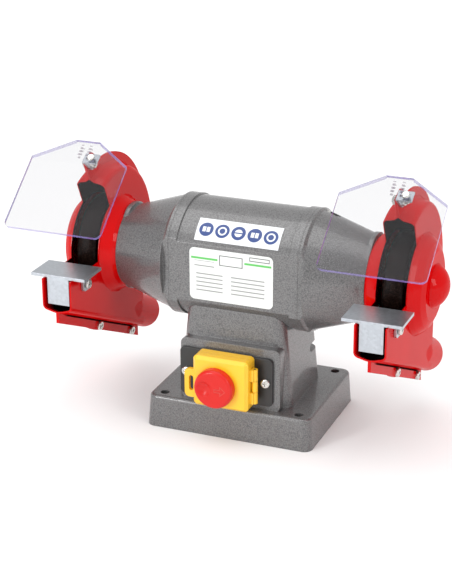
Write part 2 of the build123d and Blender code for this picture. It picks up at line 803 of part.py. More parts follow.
def guard_half(is_outer, has_clamp_hole):
    """One pressed half, open side at the seam plane, bulging towards +X."""
    with BuildPart() as half:
        add(shell(0, is_outer))
        # seam flange, with the fin below and the ear for the eye shield
        with BuildSketch(Plane.YZ):
            with Locations((0, spindle_z)):
                Circle(seam_r)
            with BuildLine():
                Polyline((box_front_y, spindle_z), (box_front_y, floor_z(box_front_y, fin_height)),
                         (fin_rear_y, floor_z(fin_rear_y, fin_height)), (fin_rear_y, spindle_z), close=True)
            make_face()
            with BuildLine():
                Polyline(polar(guard_side_r, hood_end_angle), polar(ear_r, hood_end_angle),
                         polar(ear_r, (hood_end_angle + ear_rear_angle) / 2), polar(seam_r - 1, ear_rear_angle),
                         close=True)
            make_face()
        extrude(amount=sheet)
        add(shell(sheet, is_outer), mode=Mode.SUBTRACT)
        # mouth
        extrude(mouth(), amount=guard_half_width + 2, dir=(1, 0, 0), mode=Mode.SUBTRACT)
        # holes
        with BuildSketch(Plane.YZ.offset(-1)):
            with Locations(*[(y, floor_z(y, fin_screw_drop)) for y in fin_screw_ys]):
                Circle(screw_r)
            with Locations((pivot_y, pivot_z)):
                Circle(screw_r)
        extrude(amount=2 + sheet, mode=Mode.SUBTRACT)
        if has_clamp_hole:
            with BuildSketch(Plane.YZ.offset(guard_half_width - sheet - 1)):
                with Locations((lug_centre_y, clamp_z)):
                    Circle(screw_r)
            extrude(amount=sheet + 2, mode=Mode.SUBTRACT)
        if not is_outer:
            with BuildSketch(Plane.YZ.offset(neck_length - sheet - 1)):
                with Locations((0, spindle_z)):
                    Circle(neck_hole_r)
                for angle in guard_screw_angles:
                    with Locations(polar(guard_screw_r, angle)):
                        Circle(screw_r)
            extrude(amount=sheet + 2, mode=Mode.SUBTRACT)
        split(bisect_by=Plane.YZ, keep=Keep.TOP)
    return half.part


guard_outer_clamped = guard_half(True, True)
guard_outer_plain = guard_half(True, False)
guard_inner_clamped = guard_half(False, True)
guard_inner_plain = guard_half(False, False)
write(Pos(wheel_centre_x, 0, 0) * guard_outer_clamped, "guard_outer_right")
write(Pos(wheel_centre_x, 0, 0) * mirror(guard_inner_plain, about=Plane.YZ), "guard_inner_right")
write(Pos(-wheel_centre_x, 0, 0) * guard_inner_clamped, "guard_inner_left")
write(Pos(-wheel_centre_x, 0, 0) * mirror(guard_outer_plain, about=Plane.YZ), "guard_outer_left")

# screws that hold the inner half to the end bell, heads inside the hub
with BuildPart() as guard_screws:
    for angle in guard_screw_angles:
        y, z = polar(guard_screw_r, angle)
        seat = Plane(origin=(bell_end_x + sheet, y, z), x_dir=(0, 1, 0), z_dir=(1, 0, 0))
        add(seat * pan_screw(10.0))
write(both_sides(guard_screws.part), "guard_screws")


def bolt_through(x0, x1, y, z):
    """A pan screw whose head sits at x1, facing +X, and its nut against x0."""
    head = Plane(origin=(x1, y, z), x_dir=(0, 1, 0), z_dir=(1, 0, 0))
    tail = Plane(origin=(x0 - nut_small_height, y, z), x_dir=(0, 1, 0), z_dir=(1, 0, 0))
    screw = head * pan_screw(x1 - x0 + nut_small_height + 1.0)
    return screw, tail * hex_nut(nut_small_af, nut_small_height, screw_r)


rest_slot_half = rest_travel + screw_r + screw_play
lug_inner_a = guard_half_width + lug_gap
lug_outer_a = lug_inner_a + lug_thick
bracket_inner_a = sheet + bracket_gap
bracket_outer_a = bracket_inner_a + bracket_thick
panel_length = math.hypot(pane_high_y - pane_bend_y, pane_high_z - pane_bend_z)
panel_y = (pane_high_y - pane_bend_y) / panel_length
panel_z = (pane_high_z - pane_bend_z) / panel_length


def on_panel(along, depth):
    """A point (y, z) on the upper panel, along it from the bend, depth below its top face."""
    return (pane_bend_y + panel_y * along + panel_z * depth, pane_bend_z + panel_z * along - panel_y * depth)


def pane_drill(centre, depth, flip=1):
    """The plane of the pane's screw, depth below the upper panel's top face."""
    y, z = on_panel(pane_screw_along, depth)
    out = (0, -flip * panel_z, flip * panel_y)
    return Plane(origin=(centre + pane_screw_a, y, z), x_dir=(1, 0, 0), z_dir=out)


seam_screws = Part()
seam_nuts = Part()
rest_screws = Part()
rest_nuts = Part()
shield_bolts = Part()
shield_nuts = Part()
for side, name in ((-1, "left"), (1, "right")):
    centre = side * wheel_centre_x
    # seam screws through the fin
    for y in fin_screw_ys:
        screw, nut = bolt_through(centre - sheet, centre + sheet, y, floor_z(y, fin_screw_drop))
        seam_screws += screw
        seam_nuts += nut

    # tool rest: table, leg down into the guard's box, and slotted lug outside it
    with BuildPart() as rest:
        with BuildSketch(Plane.XY.offset(rest_top_z - rest_thick)):
            with Locations((centre, (rest_front_y + rest_back_y) / 2)):
                Rectangle(2 * rest_half_width, rest_back_y - rest_front_y)
        extrude(amount=rest_thick)
        with BuildSketch(Plane.XY.offset(rest_top_z - rest_thick)):
            with Locations((centre, rest_front_y + rest_thick / 2)):
                Rectangle(rest_leg_width, rest_thick)
        extrude(amount=-rest_leg_drop)
        with BuildSketch(Plane.YZ.offset(centre + lug_inner_a)):
            with Locations((lug_centre_y, rest_top_z - lug_drop / 2 - 0.5)):
                RectangleRounded(lug_length, lug_drop + 1, 5)
            with Locations((lug_centre_y, rest_top_z - rest_thick - 2)):
                Rectangle(lug_length, 5)
            with Locations((lug_centre_y, rest_top_z + 10)):
                Rectangle(40, 20, mode=Mode.SUBTRACT)
            with Locations((lug_centre_y, clamp_z)):
                SlotOverall(2 * rest_slot_half, 2 * (screw_r + screw_play), mode=Mode.SUBTRACT)
        extrude(amount=lug_thick)
    write(rest.part, "tool_rest_" + name)
    wall_x = centre + guard_half_width - sheet
    screw, nut = bolt_through(wall_x, centre + lug_outer_a + 0.1, lug_centre_y, clamp_z)
    rest_screws += screw
    rest_nuts += nut

    # eye shield pane
    low_length = math.hypot(pane_low_y - pane_bend_y, pane_low_z - pane_bend_z)
    low_y = (pane_low_y - pane_bend_y) / low_length
    low_z = (pane_low_z - pane_bend_z) / low_length
    with BuildPart() as pane:
        with BuildSketch(Plane.YZ.offset(centre - pane_half_width)):
            with BuildLine():
                Polyline((pane_low_y, pane_low_z), (pane_bend_y, pane_bend_z), (pane_high_y, pane_high_z),
                         on_panel(panel_length, pane_thick),
                         (pane_bend_y + 0.1, pane_bend_z - pane_thick * 1.06),
                         (pane_low_y - low_z * pane_thick, pane_low_z + low_y * pane_thick), close=True)
            make_face()
        extrude(amount=2 * pane_half_width)
        with BuildSketch(Plane.XY.offset(pane_bend_z - 20)):
            for way in (-1, 1):
                with BuildLine():
                    Polyline((centre + way * pane_half_width, pane_bend_y),
                             (centre + way * pane_high_half, pane_high_y),
                             (centre + way * pane_high_half, pane_high_y + 20),
                             (centre + way * (pane_half_width + 5), pane_high_y + 20),
                             (centre + way * (pane_half_width + 5), pane_bend_y), close=True)
                make_face()
        extrude(amount=50, mode=Mode.SUBTRACT)
        corner_edges = pane.edges().filter_by(GeomType.LINE).group_by(Axis.Y)[0:2]
        fillet([e for g in corner_edges for e in g if abs(e.length - pane_thick) < 0.01], pane_corner_r)
        with BuildSketch(pane_drill(centre, 0)):
            Circle(pane_screw_r)
        extrude(amount=-2 * pane_thick, mode=Mode.SUBTRACT)
    write(pane.part, "shield_pane_" + name)

    # bracket on the ear, its foot turned under the pane
    with BuildPart() as bracket:
        with BuildSketch(Plane.YZ.offset(centre + bracket_inner_a)):
            with BuildLine():
                Polyline(on_panel(foot_near, pane_thick), on_panel(foot_far, pane_thick),
                         (pivot_y + bracket_eye_r - 1, pivot_z + 2), (pivot_y, pivot_z - bracket_eye_r + 0.5),
                         (pivot_y - bracket_eye_r - 0.5, pivot_z - bracket_eye_r / 2), close=True)
            make_face()
            with Locations((pivot_y, pivot_z)):
                Circle(bracket_eye_r)
                Circle(screw_r + 0.05, mode=Mode.SUBTRACT)
        extrude(amount=bracket_thick)
        with BuildSketch(Plane.YZ.offset(centre + bracket_inner_a)):
            with BuildLine():
                Polyline(on_panel(foot_near, pane_thick), on_panel(foot_far, pane_thick),
                         on_panel(foot_far, pane_thick + bracket_thick),
                         on_panel(foot_near, pane_thick + bracket_thick), close=True)
            make_face()
        extrude(amount=foot_reach)
        with BuildSketch(pane_drill(centre, 0)):
            Circle(pane_screw_r)
        extrude(amount=-2 * (pane_thick + bracket_thick), mode=Mode.SUBTRACT)
    write(bracket.part, "shield_bracket_" + name)

    with BuildPart() as pane_screw:
        with BuildSketch(pane_drill(centre, 0)):
            Circle(pane_screw_head_r)
        extrude(amount=pane_screw_head)
        fillet(pane_screw.edges().filter_by(GeomType.CIRCLE).sort_by(Axis.Z)[-1], pane_screw_head / 2)
        with BuildSketch(pane_drill(centre, 0)):
            Circle(pane_screw_r)
        extrude(amount=-(pane_thick + bracket_thick + pane_nut_height + 1))
    write(pane_screw.part, "pane_screw_" + name)
    under = pane_drill(centre, pane_thick + bracket_thick, -1)
    pane_nut = under * hex_nut(pane_nut_af, pane_nut_height, pane_screw_r)
    write(pane_nut, "pane_nut_" + name)

    screw, nut = bolt_through(centre - sheet, centre + bracket_outer_a + 0.1, pivot_y, pivot_z)
    shield_bolts += screw
    shield_nuts += nut

write(seam_screws, "seam_screws")
write(seam_nuts, "seam_nuts")
write(rest_screws, "rest_screws")
write(rest_nuts, "rest_nuts")
write(shield_bolts, "shield_bolts")
write(shield_nuts, "shield_nuts")

# =====================================================================================
# Nameplates on the motor
# =====================================================================================
label_thick = 0.5
label_width = 86.0
label_height = 53.0
label_centre_x = -1.0
with BuildPart() as front_label:
    with BuildSketch(Plane.XZ.offset(-motor_face_y)):
        with Locations((label_centre_x, spindle_z)):
            RectangleRounded(label_width, label_height, 5)
    extrude(amount=label_thick)
write(front_label.part, "front_label")

strip_centre_x = 3.0
strip_low_angle = 146.0
strip_high_angle = 123.0
with BuildPart() as top_label:
    add(disc(strip_centre_x - label_width / 2, strip_centre_x + label_width / 2, motor_r + label_thick,
             bore=motor_r))
    with BuildSketch(Plane.YZ.offset(strip_centre_x - label_width / 2)):
        with BuildLine():
            Polyline((0, spindle_z), polar(2 * motor_r, strip_high_angle), polar(2 * motor_r, strip_low_angle),
                     close=True)
        make_face()
    extrude(amount=label_width, mode=Mode.INTERSECT)
write(top_label.part, "top_label")

# =====================================================================================
# Switch
# =====================================================================================
plate_front_y = pad_front_y - plate_thick
frame_front_y = plate_front_y - frame_thick
flap_back_y = frame_front_y - flap_gap
flap_front_y = flap_back_y - flap_depth
body_width = switch_width - 18
body_height = switch_height - 24
button_gap = 0.3
start_x = switch_centre_x - 10
stop_x = switch_centre_x + 10
switch_corner = 4.0


def front_plane(y):
    """A sketch plane facing the operator at depth y."""
    return Plane.XZ.offset(-y)


with BuildPart() as switch_plate:
    with BuildSketch(front_plane(pad_front_y)):
        with Locations((plate_centre_x, plate_centre_z)):
            RectangleRounded(plate_width, plate_height, 5)
        with Locations((switch_centre_x, switch_centre_z)):
            Rectangle(body_width, body_height, mode=Mode.SUBTRACT)
        with Locations(*plate_screw_places):
            Circle(screw_r, mode=Mode.SUBTRACT)
    extrude(amount=plate_thick)
    fillet(switch_plate.edges().group_by(Axis.Y)[0].filter_by_position(Axis.Z, 0, 200), 0.6)
write(switch_plate.part, "switch_plate")

with BuildPart() as plate_screws:
    for x, z in plate_screw_places:
        head = Plane(origin=(x, plate_front_y, z), x_dir=(1, 0, 0), z_dir=(0, -1, 0))
        add(head * pan_screw(12.0))
write(plate_screws.part, "plate_screws")

with BuildPart() as switch_body:
    with BuildSketch(front_plane(plate_front_y)):
        with Locations((switch_centre_x, switch_centre_z)):
            Rectangle(body_width, body_height)
    extrude(amount=-26)
    with BuildSketch(front_plane(plate_front_y)):
        with Locations((start_x, switch_centre_z), (stop_x, switch_centre_z)):
            Rectangle(button_width - 1 + 2 * button_gap, button_height + 2 * button_gap)
    extrude(amount=-8, mode=Mode.SUBTRACT)
write(switch_body.part, "switch_body")

hinge_x = switch_centre_x + switch_width / 2 + 3.6
hinge_y = frame_front_y - flap_gap / 2
hinge_r = 3.0
pin_r = 1.2
pin_fit = 0.08
hinge_low_z = 44.0
hinge_high_z = 80.0
knuckle = (hinge_high_z - hinge_low_z) / 3
knuckle_gap = 0.4


def knuckle_at(z0, z1, arm_y0, arm_y1, bore):
    """One hinge knuckle round the pin, with its arm back to the switch's right-hand side."""
    arm_x0 = switch_centre_x + switch_width / 2 - 1.5
    with BuildPart() as piece:
        with BuildSketch(Plane.XY.offset(z0)):
            with Locations((hinge_x, hinge_y)):
                Circle(hinge_r)
            with Locations(((arm_x0 + hinge_x) / 2, (arm_y0 + arm_y1) / 2)):
                Rectangle(hinge_x - arm_x0, abs(arm_y1 - arm_y0))
            with Locations((hinge_x, hinge_y)):
                Circle(bore, mode=Mode.SUBTRACT)
        extrude(amount=z1 - z0)
    return piece.part


with BuildPart() as switch_frame:
    with BuildSketch(front_plane(plate_front_y)):
        with Locations((switch_centre_x, switch_centre_z)):
            RectangleRounded(switch_width, switch_height, switch_corner)
    extrude(amount=frame_thick)
    with BuildSketch(front_plane(plate_front_y - 2)):
        with Locations((switch_centre_x, switch_centre_z)):
            RectangleRounded(switch_width - 2 * frame_rim, switch_height - 2 * frame_rim, 2)
    extrude(amount=frame_thick, mode=Mode.SUBTRACT)
    with BuildSketch(front_plane(plate_front_y)):
        with Locations((start_x, switch_centre_z), (stop_x, switch_centre_z)):
            Rectangle(button_width + 2 * button_gap, button_height + 2 * button_gap)
    extrude(amount=2, mode=Mode.SUBTRACT)
    add(knuckle_at(hinge_low_z + knuckle + knuckle_gap, hinge_high_z - knuckle - knuckle_gap,
                   frame_front_y + 4, frame_front_y, pin_r))
write(switch_frame.part, "switch_frame")

button_front_y = frame_front_y + 1.5
button_back_y = plate_front_y + 4.0
for x, name in ((start_x, "start_button"), (stop_x, "stop_button")):
    with BuildPart() as button:
        with BuildSketch(front_plane(button_back_y)):
            with Locations((x, switch_centre_z)):
                Rectangle(button_width - 1, button_height)
        extrude(amount=button_back_y - button_front_y)
        fillet(button.faces().sort_by(Axis.Y)[0].edges(), 1.2)
    write(button.part, name)

slot_play = 0.3
stem_width = 10.0
stem_height = 8.0
knob_travel = 4.0
knob_slot = stem_width + knob_travel + 2 * slot_play
loop_width = 14.0
loop_height = 30.0
loop_corner = 5.0
loop_slot_length = 16.0
loop_slot_width = 4.5
loop_thick = 4.0
with BuildPart() as flap:
    with BuildSketch(front_plane(flap_back_y)):
        with Locations((switch_centre_x, switch_centre_z)):
            RectangleRounded(switch_width, switch_height, switch_corner)
    extrude(amount=flap_depth)
    chamfer(flap.faces().sort_by(Axis.Y)[0].edges(), 3.0)
    with BuildSketch(front_plane(flap_back_y)):
        with Locations((switch_centre_x, switch_centre_z)):
            RectangleRounded(switch_width - 2 * flap_wall, switch_height - 2 * flap_wall, 2.5)
    extrude(amount=flap_depth - 4, mode=Mode.SUBTRACT)
    with BuildSketch(front_plane(flap_back_y - 4)):
        with Locations((switch_centre_x, switch_centre_z)):
            RectangleRounded(switch_width - 10, switch_height - 10, 2.5)
    extrude(amount=flap_depth - 4 - flap_wall, mode=Mode.SUBTRACT)
    with BuildSketch(front_plane(flap_back_y)):
        with Locations((knob_x + knob_travel / 2, knob_z)):
            Rectangle(knob_slot, stem_height + 2 * slot_play)
    extrude(amount=flap_depth, mode=Mode.SUBTRACT)
    for z0, z1 in ((hinge_low_z, hinge_low_z + knuckle), (hinge_high_z - knuckle, hinge_high_z)):
        add(knuckle_at(z0, z1, flap_back_y, flap_back_y - 4, pin_r + pin_fit))
    # padlock loop on the free edge
    with BuildSketch(front_plane(flap_back_y - 1)):
        with Locations((switch_centre_x - switch_width / 2 - 4, knob_z - 3)):
            RectangleRounded(loop_width, loop_height, loop_corner)
            SlotOverall(loop_slot_length, loop_slot_width, rotation=90, mode=Mode.SUBTRACT)
        with Locations((switch_centre_x, switch_centre_z)):
            Rectangle(switch_width - 2 * flap_wall, switch_height, mode=Mode.SUBTRACT)
    extrude(amount=loop_thick)
write(flap.part, "switch_flap")

knob_back_y = flap_front_y - slot_play
thumb_offset = 9.0
thumb_r = 12.0
with BuildPart() as knob:
    with BuildSketch(front_plane(knob_back_y)):
        with Locations((knob_x, knob_z)):
            Circle(knob_r)
    extrude(amount=knob_depth)
    fillet(knob.faces().sort_by(Axis.Y)[0].edges(), 3.5)
    with BuildSketch(front_plane(knob_back_y)):
        with Locations((knob_x, knob_z)):
            Rectangle(stem_width, stem_height)
    extrude(amount=-(flap_wall + 3 * slot_play))
    with BuildSketch(front_plane(knob_back_y + flap_wall + 2 * slot_play)):
        with Locations((knob_x, knob_z)):
            Rectangle(stem_width, stem_height + 6)
    extrude(amount=-1.8)
    # thumb hollow
    with Locations((knob_x - thumb_offset, knob_back_y - knob_depth - 0.75 * thumb_r, knob_z)):
        Sphere(thumb_r, mode=Mode.SUBTRACT)
write(knob.part, "switch_knob")

with BuildPart() as hinge_pin:
    with BuildSketch(Plane.XY.offset(hinge_low_z)):
        with Locations((hinge_x, hinge_y)):
            Circle(pin_r)
    extrude(amount=hinge_high_z - hinge_low_z)
write(hinge_pin.part, "hinge_pin")
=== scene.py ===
import math

import bmesh
import bpy
from mathutils import Matrix, Vector


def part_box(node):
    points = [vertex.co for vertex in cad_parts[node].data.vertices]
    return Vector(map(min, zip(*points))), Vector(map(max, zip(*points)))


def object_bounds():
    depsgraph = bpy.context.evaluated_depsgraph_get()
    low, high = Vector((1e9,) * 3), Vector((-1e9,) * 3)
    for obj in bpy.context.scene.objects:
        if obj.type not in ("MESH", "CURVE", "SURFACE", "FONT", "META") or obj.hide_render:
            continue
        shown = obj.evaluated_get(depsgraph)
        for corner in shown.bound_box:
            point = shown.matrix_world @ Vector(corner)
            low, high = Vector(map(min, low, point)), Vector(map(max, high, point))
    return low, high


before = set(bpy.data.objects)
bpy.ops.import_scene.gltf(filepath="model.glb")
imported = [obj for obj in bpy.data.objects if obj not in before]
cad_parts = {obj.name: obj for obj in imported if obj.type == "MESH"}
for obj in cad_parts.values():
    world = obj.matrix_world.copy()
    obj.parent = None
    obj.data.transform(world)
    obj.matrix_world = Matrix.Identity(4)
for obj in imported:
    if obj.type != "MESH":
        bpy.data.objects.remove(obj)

cad_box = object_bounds()

# Camera: stands to the operator's right, at eye height for a machine on a bench, and
# looks down on it with a long lens.
scene = bpy.context.scene
scene.view_settings.view_transform = "Standard"
eye = Vector((0.5518, -1.4218, 0.7339))
azimuth, elevation, roll = math.radians(22.16), math.radians(21.59), math.radians(-0.24)
camera_data = bpy.data.cameras.new("camera")
camera_data.sensor_width = 36.0
camera_data.lens = 101.9
camera = bpy.data.objects.new("camera", camera_data)
scene.collection.objects.link(camera)
camera.matrix_world = (Matrix.Translation(eye) @ Matrix.Rotation(azimuth, 4, "Z")
                       @ Matrix.Rotation(math.pi / 2 - elevation, 4, "X")
                       @ Matrix.Rotation(roll, 4, "Z"))
scene.camera = camera


# Stand, motor body and end bells: grey iron castings under one coat of hammered enamel.
# The enamel pools between its cells, and each cell dries as a bright metallic dimple.
class Wire:
    """A shader socket. Sums and products of wires add Math nodes, and node() adds any other."""

    def __init__(self, tree, socket=None):
        self.tree = tree
        self.socket = socket

    def node(self, kind, settings=None, output=0, **values):
        """A new node: its settings first, then its sockets, by name or by number as i0, i1."""
        made = self.tree.nodes.new(kind)
        for name, value in (settings or {}).items():
            if name == "stops":
                ramp = made.color_ramp
                while len(ramp.elements) < len(value):
                    ramp.elements.new(0.5)
                for element, (place, colour) in zip(ramp.elements, value):
                    element.position = place
                    element.color = colour
            else:
                setattr(made, name, value)
        for name, value in values.items():
            key = int(name[1:]) if name[1:].isdigit() else name.replace("_", " ")
            target = made.inputs[key]
            if isinstance(value, Wire):
                self.tree.links.new(value.socket, target)
            else:
                target.default_value = value
        return Wire(self.tree, made.outputs[output] if made.outputs else None)

    def math(self, operation, first, second=0.0):
        return self.node("ShaderNodeMath", {"operation": operation}, i0=first, i1=second)

    def __add__(self, other):
        return self.math("ADD", self, other)

    __radd__ = __add__

    def __sub__(self, other):
        return self.math("SUBTRACT", self, other)

    def __rsub__(self, other):
        return self.math("SUBTRACT", other, self)

    def __mul__(self, other):
        return self.math("MULTIPLY", self, other)

    __rmul__ = __mul__

    def __truediv__(self, other):
        return self.math("DIVIDE", self, other)

    def __pow__(self, other):
        return self.math("POWER", self, other)

    def __abs__(self):
        return self.math("ABSOLUTE", self)

    def least(self, other):
        return self.math("MINIMUM", self, other)

    def most(self, other):
        return self.math("MAXIMUM", self, other)

    def sine(self):
        return self.math("SINE", self)

    def below(self, edge, soft):
        """1 where this is under edge, 0 over it, with a soft step."""
        return self.node("ShaderNodeMapRange", {"interpolation_type": "SMOOTHSTEP"}, Value=self,
                         From_Min=edge - soft, From_Max=edge + soft, To_Min=1.0, To_Max=0.0)

    def blend(self, low, high):
        """A colour from low to high as this goes from 0 to 1."""
        return self.node("ShaderNodeMix", {"data_type": "RGBA"}, output=2,
                         i0=self, i6=low, i7=high)

    def xyz(self):
        """The three parts of a vector."""
        made = self.node("ShaderNodeSeparateXYZ", Vector=self).socket.node
        return [Wire(self.tree, part) for part in made.outputs]


def new_finish(name):
    """An empty material: itself, its first wire and its place on the piece."""
    material = bpy.data.materials.new(name)
    material.use_nodes = True
    material.node_tree.nodes.clear()
    start = Wire(material.node_tree)
    return material, start, start.node("ShaderNodeTexCoord", output=3)


def close_finish(material, start, **values):
    """A principled shader with these sockets, joined to the material's output."""
    shader = start.node("ShaderNodeBsdfPrincipled", **values)
    start.node("ShaderNodeOutputMaterial", Surface=shader)
    return material


def dress(material, *names):
    """Gives CAD nodes a finish."""
    for name in names:
        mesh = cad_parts[name].data
        mesh.materials.clear()
        mesh.materials.append(material)


hammer_cell = 0.00115
hammer_deep = 0.00009
casting_edge = 0.0014
enamel_dark = (0.105, 0.104, 0.105, 1)
enamel_mid = (0.165, 0.163, 0.164, 1)
enamel_light = (0.235, 0.232, 0.233, 1)


def hammered_enamel():
    material, start, place = new_finish("hammered_enamel")
    drift = start.node("ShaderNodeTexNoise", Vector=place, Scale=0.8 / hammer_cell, Detail=1.0)
    cells = start.node("ShaderNodeTexVoronoi", {"feature": "SMOOTH_F1"}, Vector=place,
                       Scale=1 / hammer_cell, Smoothness=0.4)
    veins = cells + (drift - 0.5) * 0.3
    colour = veins.node("ShaderNodeValToRGB", {"stops": [
        (0.05, enamel_light), (0.40, enamel_mid), (0.80, enamel_dark)]}, Fac=veins)
    shape = start.node("ShaderNodeBevel", {"samples": 4}, Radius=casting_edge)
    bump = start.node("ShaderNodeBump", Strength=0.5, Distance=hammer_deep, Height=1 - cells,
                      Normal=shape)
    return close_finish(material, start, Base_Color=colour, Metallic=0.4,
                        Roughness=0.30 + 0.10 * cells, Coat_Weight=0.6, Coat_Roughness=0.08,
                        Normal=bump)


dress(hammered_enamel(), "stand", "motor_housing", "end_bell_left", "end_bell_right")


# Fasteners, tool rests and shield brackets: zinc plated steel. Rolled sheet is a smooth
# blue grey with a faint haze, and screws are bright with a finer grain.
zinc_haze_scale = 60.0
zinc_deep = 0.00003
zinc_edge = 0.0004


def zinc_plate(name, shade, spangle, rough):
    material, start, place = new_finish(name)
    cells = start.node("ShaderNodeTexVoronoi", output=1, Vector=place, Scale=1 / spangle)
    tone = start.node("ShaderNodeSeparateColor", Color=cells)
    haze = start.node("ShaderNodeTexNoise", Vector=place, Scale=zinc_haze_scale, Detail=3.0)
    light = tuple(min(1.0, c * 1.08) for c in shade) + (1,)
    dark = tuple(c * 0.86 for c in shade) + (1,)
    colour = (tone * 0.6 + haze * 0.4).blend(dark, light)
    shape = start.node("ShaderNodeBevel", {"samples": 4}, Radius=zinc_edge)
    bump = start.node("ShaderNodeBump", Strength=0.2, Distance=zinc_deep,
                      Height=haze + tone * 0.3, Normal=shape)
    return close_finish(material, start, Base_Color=colour, Metallic=0.9,
                        Roughness=rough + 0.06 * tone, Normal=bump)


zinc_sheet = zinc_plate("zinc_sheet", (0.50, 0.53, 0.57), spangle=0.0024, rough=0.30)
zinc_screw = zinc_plate("zinc_screw", (0.66, 0.65, 0.62), spangle=0.0012, rough=0.18)
dress(zinc_sheet, "tool_rest_left", "tool_rest_right", "shield_bracket_left",
      "shield_bracket_right", "bottom_cover", "capacitor_clip")
dress(zinc_screw, "bell_screws", "guard_screws", "seam_screws", "seam_nuts", "rest_screws",
      "rest_nuts", "shield_bolts", "shield_nuts", "pane_nut_left", "pane_nut_right",
      "pane_screw_left", "pane_screw_right", "plate_screws", "cover_screws")


# Spindle, flanges, nuts and bearings: turned steel with fine rings round the spindle.
# The stator and rotor are stacks of thin black-edged sheets, the windings varnished copper.
turning_scale = 9000.0
turning_deep = 0.00002
core_sheet = 0.0005
strand_scale = 900.0
strand_deep = 0.0003


def turned_steel():
    material, start, place = new_finish("turned_steel")
    x, _, _ = place.xyz()
    turning = start.node("ShaderNodeTexNoise", {"noise_dimensions": "1D"}, W=x,
                         Scale=turning_scale, Detail=2.0)
    colour = turning.blend((0.42, 0.42, 0.43, 1), (0.62, 0.61, 0.6, 1))
    bump = start.node("ShaderNodeBump", Strength=0.15, Distance=turning_deep, Height=turning)
    return close_finish(material, start, Base_Color=colour, Metallic=1.0,
                        Roughness=0.2 + 0.15 * turning, Normal=bump)


def core_steel():
    material, start, place = new_finish("core_steel")
    x, _, _ = place.xyz()
    sheets = (x * (2 * math.pi / core_sheet)).sine() * 0.5 + 0.5
    colour = sheets.blend((0.05, 0.05, 0.055, 1), (0.3, 0.3, 0.31, 1))
    return close_finish(material, start, Base_Color=colour, Metallic=0.8, Roughness=0.45)


def copper_winding():
    material, start, place = new_finish("copper_winding")
    strands = start.node("ShaderNodeTexNoise", Vector=place, Scale=strand_scale, Detail=2.0)
    colour = strands.blend((0.22, 0.06, 0.02, 1), (0.62, 0.24, 0.09, 1))
    bump = start.node("ShaderNodeBump", Strength=0.5, Distance=strand_deep, Height=strands)
    return close_finish(material, start, Base_Color=colour, Metallic=0.6, Roughness=0.3,
                        Coat_Weight=0.6, Normal=bump)


dress(turned_steel(), "spindle_shaft", "flange_inner_left", "flange_inner_right",
      "flange_outer_left", "flange_outer_right", "spindle_nut_left", "spindle_nut_right",
      "bearing_balls", "bearing_inner_rings", "bearing_outer_rings", "preload_washer",
      "hinge_pin")
dress(core_steel(), "rotor", "stator_core")
dress(copper_winding(), "stator_windings")


# Wheels: dark brown abrasive grain in a fired bond, its edge glazed in fine rings by use,
# with paper blotters on the sides.
grain_scale = 1600.0
glaze_scale = 2600.0
grain_deep = 0.00012
grain_dark = (0.003, 0.002, 0.002, 1)
grain_mid = (0.009, 0.004, 0.003, 1)
grain_light = (0.035, 0.018, 0.014, 1)
fibre_scale = 700.0


def abrasive_grain():
    material, start, place = new_finish("abrasive_grain")
    x, _, _ = place.xyz()
    grain = start.node("ShaderNodeTexVoronoi", {"feature": "F1"}, Vector=place, Scale=grain_scale)
    glint = start.node("ShaderNodeTexVoronoi", output=1, Vector=place, Scale=grain_scale)
    tone = start.node("ShaderNodeSeparateColor", Color=glint)
    rings = start.node("ShaderNodeTexNoise", {"noise_dimensions": "1D"}, W=x,
                       Scale=glaze_scale, Detail=1.0)
    colour = tone.node("ShaderNodeValToRGB", {"stops": [
        (0.0, grain_dark), (0.8, grain_mid), (1.0, grain_light)]}, Fac=tone)
    bump = start.node("ShaderNodeBump", Strength=0.5, Distance=grain_deep,
                      Height=rings - 0.3 * grain)
    return close_finish(material, start, Base_Color=colour, Roughness=0.22 + 0.12 * tone,
                        Specular_IOR_Level=0.06, Normal=bump)


def blotter_paper():
    material, start, place = new_finish("blotter_paper")
    fibre = start.node("ShaderNodeTexNoise", Vector=place, Scale=fibre_scale, Detail=4.0)
    colour = fibre.blend((0.30, 0.24, 0.12, 1), (0.5, 0.42, 0.24, 1))
    return close_finish(material, start, Base_Color=colour, Roughness=0.9)


dress(abrasive_grain(), "wheel_left", "wheel_right")
dress(blotter_paper(), "blotters")


# Guards: pressed steel sheet, glossy red enamel outside. Inside, the red gives way to a painted
# shade, near black. The enamel has a faint orange peel and softens every edge.
guard_seam_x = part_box("guard_outer_right")[0].x
wheel_low, wheel_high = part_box("wheel_right")
spindle_z = (wheel_low.z + wheel_high.z) / 2
# What lies within these sizes is the inside of a press: its half width, its rounded
# crown, the fold over the seam, and the box under the wheel. The soft sizes are how
# gently one side of an edge turns into the other.
guard_half = 0.01475
guard_round_a = 0.0105
guard_round_r = 0.0764
guard_round = 0.0044
guard_draft = 0.227
fold_half = 0.0045
fold_r = 0.0837
fold_slope = 0.889
floor_slope = math.radians(25.0)
# Front and rear of the box under the wheel that takes the painted shade.
shaded_box_front_y = -0.0985
box_rear_y = 0.04925
wall_soft = 0.0002
crown_soft = 0.0003
box_soft = 0.006
floor_soft = 0.001
shade_scale = 14.0
peel_scale = 420.0
peel_deep = 0.0001
guard_edge = 0.0010
red_low = (0.52, 0.0004, 0.0010, 1)
red_high = (0.64, 0.0008, 0.0015, 1)
# Painted shade, near black, for the inside of the guards.
red_painted_shade = (0.012, 0.0008, 0.0008, 1)


